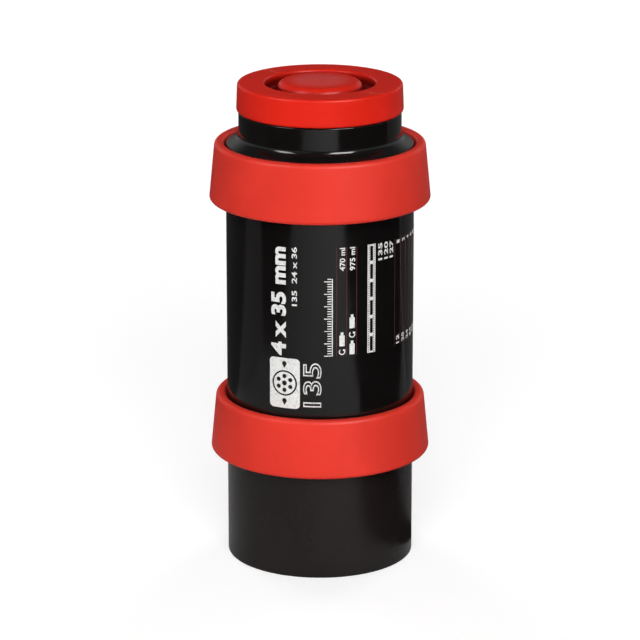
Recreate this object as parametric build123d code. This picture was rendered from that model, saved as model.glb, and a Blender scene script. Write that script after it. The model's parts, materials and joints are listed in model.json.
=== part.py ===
from build123d import *
import os

# A daylight film developing tank. Two black plastic modules and a funnel lid push into one another,
# a red clamp ring grips each joint, and a red cap closes the pouring neck. Inside, four two-part film
# reels are stacked on a hollow core. Sizes are in millimetres. Z points up, and the origin is at the
# middle of the face that the tank stands on.

# Tank modules
TANK_RADIUS = 44.0
BORE_RADIUS = 41.7
TOTAL_HEIGHT = 230.0
CUP_HEIGHT = 75.5
EXTENSION_HEIGHT = 122.0
CUP_JOINT = CUP_HEIGHT
LID_JOINT = CUP_HEIGHT + EXTENSION_HEIGHT
SEAM_GAP = 0.1

# Foot and floor of the base tank
FOOT_RING_RADIUS = 38.6
RECESS_DEPTH = 1.4
FLOOR_TOP = 3.2
LOCATING_BOSS_RADIUS = 10.6
LOCATING_BOSS_HEIGHT = 4.8

# Each mouth has a bead for the clamp ring, and each upper module has a spigot that enters the mouth below
BEAD_RADIUS = 45.0
BEAD_TOP_DROP = 9.5
BEAD_BOTTOM_DROP = 12.0
WALL_STEP_RADIUS = 43.4
WALL_STEP_DROP = 21.5
WALL_STEP_HEIGHT = 0.8
SPIGOT_RADIUS = 41.45
SPIGOT_BORE = 40.2
SPIGOT_LENGTH = 9.0

# Clamp rings, with heights taken from the joint plane
RING_RISE = 3.8
RING_DROP = 24.0
RING_TOP_RADIUS = 49.2
RING_SKIRT_RADIUS = 51.9
RING_MOUTH_RADIUS = 45.1
RING_LAND_RADIUS = 44.15
RING_GROOVE_RADIUS = 45.4
RING_LIP_RADIUS = 44.4
RING_LEG_RADIUS = 46.9
RING_SKIRT_WALL = 2.2
RING_SLOT_DROP = 5.0
RING_LAND_TOP_RISE = 0.8
RING_LAND_BOTTOM_DROP = 9.3
RING_LIP_TOP_DROP = 17.2
RING_LIP_BOTTOM_DROP = 19.4

# Funnel lid
FLANGE_RADIUS = 43.9
NECK_RADIUS = 38.0
NECK_BORE = 34.8
CAP_SEAT_RADIUS = 36.5
CAP_SEAT_HEIGHT = 215.4
NECK_TOP = 226.0
LEDGE_HEIGHT = 212.0
LEDGE_RADIUS = 33.4
LEDGE_THICKNESS = 1.4
LEDGE_SLOPE_DROP = 2.4
NECK_INSIDE_RADIUS = 35.8

# Funnel
FUNNEL_RIM_RADIUS = 34.6
FUNNEL_RIM_THICKNESS = 1.4
FUNNEL_LEDGE_PLAY = 0.2
FUNNEL_MOUTH_RADIUS = 33.0
FUNNEL_THROAT_RADIUS = 9.2
CONE_HEIGHT = 16.4
CONE_FOOT_DROP = 2.0
SPOUT_RADIUS = 10.0
SPOUT_BORE = 8.6
SPOUT_END = 163.0
COLLAR_RADIUS = 14.6
COLLAR_BORE = 13.2
COLLAR_END = 173.0
BAFFLE_HEIGHT = 199.6
BAFFLE_THICKNESS = 1.2
BAFFLE_BORE = 24.4
BAFFLE_OUTER_RISE = 4.4
BAFFLE_INNER_RISE = 6.4
VENT_COUNT = 6
VENT_RADIUS = 1.2
VENT_CIRCLE = 29.0

# Cap
CAP_RADIUS = 39.0
CAP_SIDE_RADIUS = 38.7
CAP_BORE = 36.8
CAP_BOTTOM = 215.7
CAP_RIM_TOP = 229.0
CAP_WALL = 2.2
TROUGH_RADIUS = 25.9
TROUGH_FLOOR = 223.2
CAP_BOSS_RADIUS = 19.7
PLUG_RADIUS = 34.6
PLUG_BORE = 33.4
PLUG_END = 221.5

# Core, and the foot flange that carries the reels
CORE_RADIUS = 12.6
CORE_BORE = 11.2
CORE_BOTTOM = 3.5
CORE_TOP = 178.0
CORE_FLANGE_RADIUS = 33.0
CORE_FLANGE_BOTTOM = 5.4
CORE_FLANGE_TOP = 7.2
CORE_WINDOW_COUNT = 6
CORE_WINDOW_SWEEP = 46.0
CORE_WINDOW_INNER_RADIUS = 16.5
CORE_WINDOW_OUTER_RADIUS = 29.5
CORE_FOOT_COUNT = 3
CORE_FOOT_WIDTH = 3.0
CORE_FOOT_END = 32.0
DRAIN_WIDTH = 11.0

# Reels for 35 mm film, with heights taken from the underside of each reel
REEL_COUNT = 4
REEL_BOTTOM = 7.6
REEL_PITCH = 41.0
REEL_HEIGHT = 40.7
REEL_RADIUS = 39.4
REEL_TURNS = (12.0, 57.0, 99.0, 140.0)
WEB_THICKNESS = 1.2
STIFFENER_HEIGHT = 1.55
STIFFENER_WIDTH = 1.4
RIM_BORE = 38.0
HUB_RADIUS = 18.4
HUB_STIFFENER_RADIUS = 16.8
SPOKE_COUNT = 8
WINDOW_SWEEP = 38.0
WINDOW_INNER_RADIUS = 20.0
WINDOW_OUTER_RADIUS = 36.4
RIB_HEIGHT = 1.6
RIB_THICKNESS = 0.7
RIB_PITCH = 2.1
RIB_START_RADIUS = 19.6
RIB_HALF_TURNS = 17

# Telescoping sleeves, locked by three lugs for 35, 46 and 61.5 mm film
SLEEVE_BORE = 13.0
INNER_SLEEVE_RADIUS = 14.8
OUTER_SLEEVE_BORE = 15.1
OUTER_SLEEVE_RADIUS = 16.8
SLEEVE_END_GAP = 0.35
LUG_COUNT = 3
LUG_INNER_RADIUS = 13.3
LUG_HALF_SWEEP = 9.0
LUG_HEIGHT = 3.2
LUG_MIDDLE = 7.5
LUG_PLAY = 0.3
LUG_SIDE_SWEEP = 1.5
UNLOCK_SWEEP = 30.0
FILM_WIDTHS = (35.0, 46.0, 61.5)

# Film-stop clip, which slides in a pocket on one wide spoke
CLIP_OUTER_RADIUS = 37.6
CLIP_LENGTH = 5.6
CLIP_WIDTH = 8.0
CLIP_THICKNESS = 1.0
CLIP_GRIP_HEIGHT = 0.4
CLIP_GRIP_WIDTH = 0.7
CLIP_GRIP_COUNT = 3
CLIP_GRIP_PITCH = 1.55
CLIP_GRIP_START = 0.9
CLIP_GRIP_LENGTH = 6.8
CLIP_TRAVEL = 3.0
CLIP_PLAY = 0.3
TONGUE_WIDTH = 3.0
TONGUE_LENGTH = 2.4
TONGUE_FOOT_WIDTH = 4.8
TONGUE_FOOT_HEIGHT = 1.1
RAIL_WIDTH = 1.3


def turned(*corners):
    """A body turned about Z from corners given as radius, height and, where it is rounded, rounding."""
    points = [corner[:2] for corner in corners]
    roundings = [corner[2] if len(corner) == 3 else 0 for corner in corners]
    outline = FilletPolyline(*points, radius=roundings, close=True)
    return revolve(Plane.XZ * make_face(outline), Axis.Z)


def tube(outer, bore, bottom, top):
    """A plain round wall."""
    return turned((bore, bottom), (outer, bottom), (outer, top), (bore, top))


def sector(inner, outer, bottom, top, start, sweep):
    """A piece of a round wall, from the angle start over the angle sweep."""
    outer_arc = CenterArc((0, 0), outer, start, sweep)
    inner_arc = CenterArc((0, 0), inner, start, sweep)
    sides = [Line(inner_arc @ 0, outer_arc @ 0), Line(inner_arc @ 1, outer_arc @ 1)]
    face = make_face([outer_arc, inner_arc, *sides])
    return extrude(Pos(0, 0, bottom) * face, top - bottom)


def bar(inner, outer, width, bottom, top):
    """A straight bar along X, centred on the X axis."""
    middle = Pos((inner + outer) / 2, 0, (bottom + top) / 2)
    return middle * Box(outer - inner, width, top - bottom)


def around(shape, count, start=0.0):
    """Copies of a shape spaced evenly about Z."""
    return [Rot(0, 0, start + 360 / count * index) * shape for index in range(count)]


def mouth_wall(joint):
    """The outside of a module's mouth, from the wall step up to the rim at the joint plane."""
    step = joint - WALL_STEP_DROP
    groove = TANK_RADIUS - WALL_STEP_RADIUS
    bead = BEAD_RADIUS - TANK_RADIUS
    return [
        (TANK_RADIUS, step),
        (WALL_STEP_RADIUS, step + groove),
        (WALL_STEP_RADIUS, step + WALL_STEP_HEIGHT),
        (TANK_RADIUS, step + WALL_STEP_HEIGHT + groove),
        (TANK_RADIUS, joint - BEAD_BOTTOM_DROP - bead),
        (BEAD_RADIUS, joint - BEAD_BOTTOM_DROP, 0.3),
        (BEAD_RADIUS, joint - BEAD_TOP_DROP, 0.3),
        (TANK_RADIUS, joint - BEAD_TOP_DROP),
        (TANK_RADIUS, joint, 0.3),
        (BORE_RADIUS + 0.4, joint),
        (BORE_RADIUS, joint - 0.8),
    ]


def spigot(joint):
    """The part of an upper module that enters the mouth below, from its bore to its shoulder."""
    return [
        (SPIGOT_BORE, joint - SPIGOT_LENGTH),
        (SPIGOT_RADIUS, joint - SPIGOT_LENGTH, 0.4),
        (SPIGOT_RADIUS, joint + SEAM_GAP),
    ]


def base_tank():
    """The bottom module: a plain cup on a raised foot ring, with a boss that locates the core."""
    boss_top = FLOOR_TOP + LOCATING_BOSS_HEIGHT
    return turned(
        (0, RECESS_DEPTH),
        (FOOT_RING_RADIUS - RECESS_DEPTH, RECESS_DEPTH, 0.8),
        (FOOT_RING_RADIUS, 0, 0.5),
        (TANK_RADIUS, 0, 1.0),
        *mouth_wall(CUP_JOINT),
        (BORE_RADIUS, FLOOR_TOP, 2.5),
        (LOCATING_BOSS_RADIUS, FLOOR_TOP, 0.8),
        (LOCATING_BOSS_RADIUS, boss_top - 1.0, 1.6),
        (0, boss_top),
    )


def extension_tube():
    """The module that adds height: an open tube with a spigot below and a mouth above."""
    taper_top = CUP_JOINT + 3.2
    taper_bottom = taper_top - 2.4
    return turned(
        *spigot(CUP_JOINT),
        (TANK_RADIUS, CUP_JOINT + SEAM_GAP, 0.3),
        *mouth_wall(LID_JOINT),
        (BORE_RADIUS, taper_top),
        (SPIGOT_BORE, taper_bottom),
    )


def clamp_ring(joint):
    """A soft plastic ring whose land bears on both modules, and whose lip is caught under the bead."""
    skirt_slope = (RING_SKIRT_RADIUS - RING_TOP_RADIUS) / (RING_RISE + RING_DROP)
    slot_radius = RING_TOP_RADIUS + skirt_slope * (RING_RISE + RING_SLOT_DROP) - RING_SKIRT_WALL
    lip_rise = RING_GROOVE_RADIUS - RING_LIP_RADIUS
    return turned(
        (RING_MOUTH_RADIUS, joint + RING_RISE, 0.4),
        (RING_TOP_RADIUS, joint + RING_RISE, 1.5),
        (RING_SKIRT_RADIUS, joint - RING_DROP, 1.6),
        (RING_SKIRT_RADIUS - RING_SKIRT_WALL, joint - RING_DROP, 0.5),
        (slot_radius, joint - RING_SLOT_DROP),
        (RING_LEG_RADIUS, joint - RING_SLOT_DROP),
        (RING_LEG_RADIUS, joint - RING_LIP_BOTTOM_DROP, 0.5),
        (RING_LIP_RADIUS, joint - RING_LIP_BOTTOM_DROP, 0.5),
        (RING_LIP_RADIUS, joint - RING_LIP_TOP_DROP),
        (RING_GROOVE_RADIUS, joint - RING_LIP_TOP_DROP + lip_rise),
        (RING_GROOVE_RADIUS, joint - RING_LAND_BOTTOM_DROP),
        (RING_LAND_RADIUS, joint - RING_LAND_BOTTOM_DROP),
        (RING_LAND_RADIUS, joint + RING_LAND_TOP_RISE),
    )


def funnel_lid():
    """The lid: a spigot, a sloping shoulder and the pouring neck, with a ledge inside for the funnel."""
    shoulder_bottom = LID_JOINT + 3.0
    shoulder_top = LID_JOINT + 6.0
    skirt_top = LID_JOINT + 1.8
    ledge_bottom = LEDGE_HEIGHT - LEDGE_THICKNESS
    return turned(
        *spigot(LID_JOINT),
        (FLANGE_RADIUS, LID_JOINT + SEAM_GAP, 0.3),
        (FLANGE_RADIUS, shoulder_bottom, 0.8),
        (NECK_RADIUS, shoulder_top, 1.5),
        (NECK_RADIUS, CAP_SEAT_HEIGHT, 0.4),
        (CAP_SEAT_RADIUS, CAP_SEAT_HEIGHT),
        (CAP_SEAT_RADIUS, NECK_TOP, 0.6),
        (NECK_BORE, NECK_TOP, 0.6),
        (NECK_BORE, LEDGE_HEIGHT),
        (LEDGE_RADIUS, LEDGE_HEIGHT),
        (LEDGE_RADIUS, ledge_bottom),
        (NECK_INSIDE_RADIUS, ledge_bottom - LEDGE_SLOPE_DROP),
        (NECK_INSIDE_RADIUS, shoulder_top - 1.2, 1.5),
        (SPIGOT_BORE, skirt_top, 1.5),
    )


def funnel_insert():
    """The funnel: a cone and a long spout, with a collar and a vent baffle that keep light out."""
    spout_top = LEDGE_HEIGHT + FUNNEL_RIM_THICKNESS - CONE_HEIGHT
    step_radius = LEDGE_RADIUS - FUNNEL_LEDGE_PLAY
    rim_top = LEDGE_HEIGHT + FUNNEL_RIM_THICKNESS
    cone = turned(
        (SPOUT_BORE, SPOUT_END),
        (SPOUT_RADIUS, SPOUT_END, 0.5),
        (SPOUT_RADIUS, spout_top - CONE_FOOT_DROP, 2.0),
        (step_radius, LEDGE_HEIGHT - LEDGE_THICKNESS),
        (step_radius, LEDGE_HEIGHT),
        (FUNNEL_RIM_RADIUS, LEDGE_HEIGHT),
        (FUNNEL_RIM_RADIUS, rim_top, 0.4),
        (FUNNEL_MOUTH_RADIUS, rim_top, 0.4),
        (FUNNEL_THROAT_RADIUS, spout_top, 4.0),
    )
    cone_slope = CONE_HEIGHT / (FUNNEL_MOUTH_RADIUS - SPOUT_RADIUS)
    collar_top = spout_top + cone_slope * (COLLAR_BORE - SPOUT_RADIUS) - 0.4
    collar = tube(COLLAR_RADIUS, COLLAR_BORE, COLLAR_END, collar_top)
    outer_top = BAFFLE_HEIGHT + BAFFLE_OUTER_RISE
    inner_top = BAFFLE_HEIGHT + BAFFLE_INNER_RISE
    tray_floor = BAFFLE_HEIGHT + BAFFLE_THICKNESS
    baffle = turned(
        (BAFFLE_BORE, BAFFLE_HEIGHT),
        (FUNNEL_MOUTH_RADIUS, BAFFLE_HEIGHT),
        (FUNNEL_MOUTH_RADIUS, outer_top, 0.4),
        (FUNNEL_MOUTH_RADIUS - BAFFLE_THICKNESS, outer_top, 0.4),
        (FUNNEL_MOUTH_RADIUS - BAFFLE_THICKNESS, tray_floor, 0.6),
        (BAFFLE_BORE + BAFFLE_THICKNESS, tray_floor, 0.6),
        (BAFFLE_BORE + BAFFLE_THICKNESS, inner_top + 0.2),
        (BAFFLE_BORE, inner_top),
    )
    vent = Pos(VENT_CIRCLE, 0, LEDGE_HEIGHT - 2.8) * Cylinder(VENT_RADIUS, 8)
    return cone + collar + baffle - around(vent, VENT_COUNT)


def lid_cap():
    """The cap: a deep rim over the neck, a plug lip inside it, and a round boss in a finger trough."""
    ceiling = CAP_RIM_TOP - CAP_WALL
    boss_edge = TOTAL_HEIGHT - 0.5
    boss_bore = CAP_BOSS_RADIUS - CAP_WALL
    trough_under = TROUGH_FLOOR - CAP_WALL
    return turned(
        (CAP_RADIUS, CAP_BOTTOM, 0.4),
        (CAP_RADIUS, CAP_BOTTOM + 1.8, 0.3),
        (CAP_SIDE_RADIUS, CAP_BOTTOM + 2.3),
        (CAP_SIDE_RADIUS - 0.1, CAP_RIM_TOP, 1.3),
        (TROUGH_RADIUS, CAP_RIM_TOP, 1.2),
        (TROUGH_RADIUS - 0.6, TROUGH_FLOOR, 1.2),
        (CAP_BOSS_RADIUS + 0.3, TROUGH_FLOOR, 0.8),
        (CAP_BOSS_RADIUS, boss_edge, 3.4),
        (0, TOTAL_HEIGHT),
        (0, TOTAL_HEIGHT - CAP_WALL),
        (boss_bore, boss_edge - CAP_WALL, 1.6),
        (boss_bore, trough_under),
        (TROUGH_RADIUS + CAP_WALL, trough_under),
        (TROUGH_RADIUS + CAP_WALL, ceiling),
        (PLUG_BORE, ceiling),
        (PLUG_BORE, PLUG_END, 0.4),
        (PLUG_RADIUS, PLUG_END, 0.4),
        (PLUG_RADIUS, ceiling),
        (CAP_BORE, ceiling),
        (CAP_BORE, CAP_BOTTOM, 0.4),
    )


def core_tube():
    """The hollow core: the drain for poured liquid, and the axle that the reels stand on."""
    flange_bore = CORE_RADIUS - 0.2
    body = tube(CORE_RADIUS, CORE_BORE, CORE_BOTTOM, CORE_TOP)
    body += tube(CORE_FLANGE_RADIUS, flange_bore, CORE_FLANGE_BOTTOM, CORE_FLANGE_TOP)
    window = sector(
        CORE_WINDOW_INNER_RADIUS,
        CORE_WINDOW_OUTER_RADIUS,
        CORE_FLANGE_BOTTOM,
        CORE_FLANGE_TOP,
        0,
        CORE_WINDOW_SWEEP,
    )
    body -= around(window, CORE_WINDOW_COUNT, start=(360 / CORE_WINDOW_COUNT - CORE_WINDOW_SWEEP) / 2)
    foot = bar(flange_bore, CORE_FOOT_END, CORE_FOOT_WIDTH, CORE_BOTTOM, CORE_FLANGE_BOTTOM)
    body += around(foot, CORE_FOOT_COUNT)
    drain = bar(CORE_BORE - 3, CORE_RADIUS + 2, DRAIN_WIDTH, CORE_BOTTOM, CORE_FLANGE_BOTTOM)
    return body - around(drain, CORE_FOOT_COUNT, start=180 / CORE_FOOT_COUNT)


def spiral_rib(bottom):
    """The rib that guides the film's edge: half-circles about two centres, half a pitch apart."""
    shift = RIB_PITCH / 2
    centres = [(index % 2 * shift, 0) for index in range(RIB_HALF_TURNS)]
    radii = [RIB_START_RADIUS + index * shift for index in range(RIB_HALF_TURNS)]
    edges = []
    for side in (-RIB_THICKNESS / 2, RIB_THICKNESS / 2):
        for index, (centre, radius) in enumerate(zip(centres, radii)):
            edges.append(CenterArc(centre, radius + side, index % 2 * 180, 180))
    inner = edges[:RIB_HALF_TURNS]
    outer = edges[RIB_HALF_TURNS:]
    edges.append(Line(inner[0] @ 0, outer[0] @ 0))
    edges.append(Line(inner[-1] @ 1, outer[-1] @ 1))
    return extrude(Pos(0, 0, bottom) * make_face(edges), RIB_HEIGHT)


def flange(web_bottom, stiffener_bottom, rib_bottom, stiffened_spokes):
    """A reel flange: a web with windows, stiffeners outside it and the spiral rib inside it."""
    web_top = web_bottom + WEB_THICKNESS
    stiffener_top = stiffener_bottom + STIFFENER_HEIGHT
    plate = tube(REEL_RADIUS, SLEEVE_BORE, web_bottom, web_top)
    window = sector(WINDOW_INNER_RADIUS, WINDOW_OUTER_RADIUS, web_bottom, web_top, 0, WINDOW_SWEEP)
    plate -= around(window, SPOKE_COUNT, start=(360 / SPOKE_COUNT - WINDOW_SWEEP) / 2)
    plate += tube(REEL_RADIUS, RIM_BORE, stiffener_bottom, stiffener_top)
    plate += tube(HUB_STIFFENER_RADIUS, SLEEVE_BORE, stiffener_bottom, stiffener_top)
    stiffener = bar(
        HUB_STIFFENER_RADIUS - 0.5, RIM_BORE + 0.5, STIFFENER_WIDTH, stiffener_bottom, stiffener_top
    )
    for index in stiffened_spokes:
        plate += Rot(0, 0, 360 / SPOKE_COUNT * index) * stiffener
    return plate + spiral_rib(rib_bottom)


def lug_slots():
    """The slots in the inner sleeve: one branch for each film width, off a channel open at the top."""
    play = LUG_HALF_SWEEP + LUG_SIDE_SWEEP
    half_height = LUG_HEIGHT / 2 + LUG_PLAY
    wall = (SLEEVE_BORE - 0.5, INNER_SLEEVE_RADIUS + 0.2)
    slots = [
        sector(*wall, LUG_MIDDLE - half_height, REEL_HEIGHT, UNLOCK_SWEEP - play, 2 * play),
    ]
    for width in FILM_WIDTHS:
        middle = LUG_MIDDLE + width - FILM_WIDTHS[0]
        slots.append(
            sector(*wall, middle - half_height, middle + half_height, -play, UNLOCK_SWEEP + play)
        )
    return [copy for slot in slots for copy in around(slot, LUG_COUNT)]


def reel_lower():
    """The lower half of a reel: its flange and the inner sleeve with the lug slots."""
    web_bottom = STIFFENER_HEIGHT
    web_top = web_bottom + WEB_THICKNESS
    sleeve_top = REEL_HEIGHT - web_top - SLEEVE_END_GAP
    sleeve = tube(INNER_SLEEVE_RADIUS, SLEEVE_BORE, web_top, sleeve_top)
    half = flange(web_bottom, 0, web_top, range(SPOKE_COUNT))
    return half + (sleeve - lug_slots())


def reel_upper():
    """The upper half of a reel: its flange, the outer sleeve with three lugs, and the clip's pocket."""
    web_top = REEL_HEIGHT - STIFFENER_HEIGHT
    web_bottom = web_top - WEB_THICKNESS
    sleeve_bottom = LUG_MIDDLE - LUG_HEIGHT / 2 - LUG_PLAY
    half = flange(web_bottom, web_top, web_bottom - RIB_HEIGHT, range(1, SPOKE_COUNT))
    half += tube(OUTER_SLEEVE_RADIUS, OUTER_SLEEVE_BORE, sleeve_bottom, web_bottom)
    lug = sector(
        LUG_INNER_RADIUS,
        OUTER_SLEEVE_BORE + 0.2,
        LUG_MIDDLE - LUG_HEIGHT / 2,
        LUG_MIDDLE + LUG_HEIGHT / 2,
        -LUG_HALF_SWEEP,
        2 * LUG_HALF_SWEEP,
    )
    half += around(lug, LUG_COUNT)
    pocket_inner = CLIP_OUTER_RADIUS - CLIP_LENGTH - CLIP_TRAVEL - CLIP_PLAY
    rail_offset = CLIP_WIDTH / 2 + CLIP_PLAY + RAIL_WIDTH / 2
    half += bar(HUB_RADIUS, RIM_BORE, 2 * rail_offset + RAIL_WIDTH, web_bottom, web_top)
    rail = bar(pocket_inner, RIM_BORE + 0.4, RAIL_WIDTH, web_top, REEL_HEIGHT)
    half += [Pos(0, side * rail_offset, 0) * rail for side in (-1, 1)]
    half += bar(HUB_STIFFENER_RADIUS - 0.5, pocket_inner, STIFFENER_WIDTH, web_top, REEL_HEIGHT)
    slot_inner = CLIP_OUTER_RADIUS - TONGUE_LENGTH - CLIP_TRAVEL - 2 * CLIP_PLAY
    slot_outer = CLIP_OUTER_RADIUS - CLIP_PLAY + 0.2
    half -= bar(slot_inner, slot_outer, TONGUE_WIDTH + 2 * CLIP_PLAY, web_bottom, web_top)
    foot_way = TONGUE_FOOT_WIDTH + 2 * CLIP_PLAY
    return half - bar(slot_inner, REEL_RADIUS, foot_way, web_bottom - RIB_HEIGHT, web_bottom)


def reel_clip():
    """The film-stop clip: a ridged thumb plate, and a tongue that snaps through the pocket's slot."""
    web_top = REEL_HEIGHT - STIFFENER_HEIGHT
    plate_bottom = web_top + STIFFENER_HEIGHT - CLIP_GRIP_HEIGHT - CLIP_THICKNESS
    plate_top = plate_bottom + CLIP_THICKNESS
    plate_inner = CLIP_OUTER_RADIUS - CLIP_LENGTH
    clip = bar(plate_inner, CLIP_OUTER_RADIUS, CLIP_WIDTH, plate_bottom, plate_top)
    for index in range(CLIP_GRIP_COUNT):
        ridge_inner = plate_inner + CLIP_GRIP_START + CLIP_GRIP_PITCH * index
        ridge_outer = ridge_inner + CLIP_GRIP_WIDTH
        clip += bar(ridge_inner, ridge_outer, CLIP_GRIP_LENGTH, plate_top, plate_top + CLIP_GRIP_HEIGHT)
    tongue_outer = CLIP_OUTER_RADIUS - CLIP_PLAY
    tongue_inner = tongue_outer - TONGUE_LENGTH
    foot_bottom = web_top - WEB_THICKNESS - RIB_HEIGHT + 0.2
    foot_top = foot_bottom + TONGUE_FOOT_HEIGHT
    clip += bar(tongue_inner, tongue_outer, TONGUE_WIDTH, foot_bottom, plate_bottom)
    return clip + bar(tongue_inner, tongue_outer, TONGUE_FOOT_WIDTH, foot_bottom, foot_top)


def reel_parts():
    """Every reel's two halves and clip, stacked up the core and each turned to its own angle."""
    halves = {"lower": reel_lower(), "upper": reel_upper(), "clip": reel_clip()}
    parts = {}
    for index in range(REEL_COUNT):
        place = Pos(0, 0, REEL_BOTTOM + REEL_PITCH * index) * Rot(0, 0, REEL_TURNS[index])
        for name, shape in halves.items():
            parts[f"reel_{index + 1}_{name}"] = place * shape
    return parts


def all_parts():
    """Every piece of the tank by its name."""
    parts = {
        "base_tank": base_tank(),
        "lower_clamp_ring": clamp_ring(CUP_JOINT),
        "extension_tube": extension_tube(),
        "upper_clamp_ring": clamp_ring(LID_JOINT),
        "funnel_lid": funnel_lid(),
        "funnel_insert": funnel_insert(),
        "lid_cap": lid_cap(),
        "core_tube": core_tube(),
    }
    parts.update(reel_parts())
    return parts


os.makedirs("parts", exist_ok=True)
for name, shape in all_parts().items():
    export_step(shape, f"parts/{name}.step")
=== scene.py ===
import bmesh
import bpy
import json
import math
from mathutils import Matrix, Vector


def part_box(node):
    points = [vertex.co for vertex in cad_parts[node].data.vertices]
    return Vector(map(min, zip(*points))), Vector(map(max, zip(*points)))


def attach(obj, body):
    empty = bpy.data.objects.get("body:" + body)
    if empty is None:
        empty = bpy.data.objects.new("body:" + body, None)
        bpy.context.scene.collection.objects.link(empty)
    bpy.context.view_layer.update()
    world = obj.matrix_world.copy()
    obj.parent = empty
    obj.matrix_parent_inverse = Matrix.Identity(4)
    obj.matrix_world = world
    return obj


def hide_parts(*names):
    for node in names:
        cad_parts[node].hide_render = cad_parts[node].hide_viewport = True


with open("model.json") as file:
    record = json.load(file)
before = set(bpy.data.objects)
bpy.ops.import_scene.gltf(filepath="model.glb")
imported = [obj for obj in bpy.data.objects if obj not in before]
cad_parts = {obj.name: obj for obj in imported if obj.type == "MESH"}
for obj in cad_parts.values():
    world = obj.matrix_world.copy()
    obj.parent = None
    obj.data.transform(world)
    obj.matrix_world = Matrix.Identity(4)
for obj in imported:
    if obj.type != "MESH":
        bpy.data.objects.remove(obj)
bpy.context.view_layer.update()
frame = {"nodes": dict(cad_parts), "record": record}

# BASE TANK
# The bottom module, moulded in one shot from black ABS: a cup on a raised foot ring, with a boss inside
# that locates the core. Its outer wall has come off a finely blasted mould, so it is satin.
MM = 0.001
MOUNTS = {mount["name"]: mount for mount in frame["record"]["mounts"]}
TANK_RADIUS = MOUNTS["tank_foot"]["dims"]["r_mm"]
WALL = 2.3
BORE_RADIUS = TANK_RADIUS - WALL
CUP_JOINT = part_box("base_tank")[1].z / MM
LID_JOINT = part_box("extension_tube")[1].z / MM
SEAM_GAP = 0.1
TURNED_SEGMENTS = 160
EDGE_INSET = 0.22
ROUNDING_STEP = math.radians(14)


def rounded(corners):
    """The points of a closed outline whose corners are radius, height and, where it is rounded, rounding."""
    points = []
    for index, corner in enumerate(corners):
        here = Vector(corner[:2])
        back = (Vector(corners[index - 1][:2]) - here).normalized()
        ahead = (Vector(corners[(index + 1) % len(corners)][:2]) - here).normalized()
        if len(corner) < 3:
            points.append(here)
            continue
        half_angle = back.angle(ahead) / 2
        middle = here + (back + ahead).normalized() * corner[2] / math.sin(half_angle)
        first = here + back * corner[2] / math.tan(half_angle) - middle
        last = here + ahead * corner[2] / math.tan(half_angle) - middle
        sweep = math.atan2(first.cross(last), first.dot(last))
        steps = max(3, math.ceil(abs(sweep) / ROUNDING_STEP))
        for step in range(steps + 1):
            points.append(middle + Matrix.Rotation(sweep * step / steps, 2) @ first)
    return points


def supported(points):
    """The outline with a point just inside both ends of each straight run, so that shading stays flat."""
    held = []
    for index, point in enumerate(points):
        run = points[(index + 1) % len(points)] - point
        held.append(point)
        if run.length > 4 * EDGE_INSET:
            held.append(point + run.normalized() * EDGE_INSET)
            held.append(point + run - run.normalized() * EDGE_INSET)
    return held


def turned(name, corners):
    """A closed body turned about Z from an outline in millimetres."""
    mesh = bmesh.new()
    rings = []
    for radius, height in supported(rounded(corners)):
        if radius < 1e-6:
            rings.append([mesh.verts.new((0, 0, height * MM))] * TURNED_SEGMENTS)
            continue
        ring = []
        for step in range(TURNED_SEGMENTS):
            turn = 2 * math.pi * step / TURNED_SEGMENTS
            place = Vector((radius * math.cos(turn), radius * math.sin(turn), height))
            ring.append(mesh.verts.new(place * MM))
        rings.append(ring)
    for index, ring in enumerate(rings):
        following = rings[(index + 1) % len(rings)]
        for step in range(TURNED_SEGMENTS):
            after = (step + 1) % TURNED_SEGMENTS
            around = [ring[step], ring[after], following[after], following[step]]
            corners_used = list(dict.fromkeys(around))
            if len(corners_used) > 2:
                mesh.faces.new(corners_used)
    bmesh.ops.recalc_face_normals(mesh, faces=mesh.faces)
    data = bpy.data.meshes.new(name)
    mesh.to_mesh(data)
    mesh.free()
    data.shade_smooth()
    piece = bpy.data.objects.new(name, data)
    bpy.context.scene.collection.objects.link(piece)
    return piece


def effect_group(name, inputs, outputs):
    """An empty shader node group with its named sockets, and its two ends."""
    group = bpy.data.node_groups.new(name, "ShaderNodeTree")
    for label, kind, value in inputs:
        socket = group.interface.new_socket(name=label, in_out="INPUT", socket_type=kind)
        socket.default_value = value
    for label, kind in outputs:
        group.interface.new_socket(name=label, in_out="OUTPUT", socket_type=kind)
    return group, group.nodes.new("NodeGroupInput"), group.nodes.new("NodeGroupOutput")


def noise(tree, vector, scale, detail=3.0, distortion=0.0):
    """A noise texture node on the given coordinates."""
    node = tree.nodes.new("ShaderNodeTexNoise")
    node.inputs["Detail"].default_value = detail
    node.inputs["Distortion"].default_value = distortion
    tree.links.new(vector, node.inputs["Vector"])
    if isinstance(scale, (int, float)):
        node.inputs["Scale"].default_value = scale
    else:
        tree.links.new(scale, node.inputs["Scale"])
    return node.outputs["Fac"]


def remap(tree, value, low, high, to_low=0.0, to_high=1.0):
    """A value taken from one range to another and held inside it."""
    node = tree.nodes.new("ShaderNodeMapRange")
    tree.links.new(value, node.inputs["Value"])
    for label, number in (("From Min", low), ("From Max", high), ("To Min", to_low), ("To Max", to_high)):
        node.inputs[label].default_value = number
    return node.outputs["Result"]


def calculate(tree, operation, first, second=0.0):
    """One sum on one or two values, each a socket or a number."""
    node = tree.nodes.new("ShaderNodeMath")
    node.operation = operation
    for socket, value in zip(node.inputs, (first, second)):
        if isinstance(value, (int, float)):
            socket.default_value = value
        else:
            tree.links.new(value, socket)
    return node.outputs[0]


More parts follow.
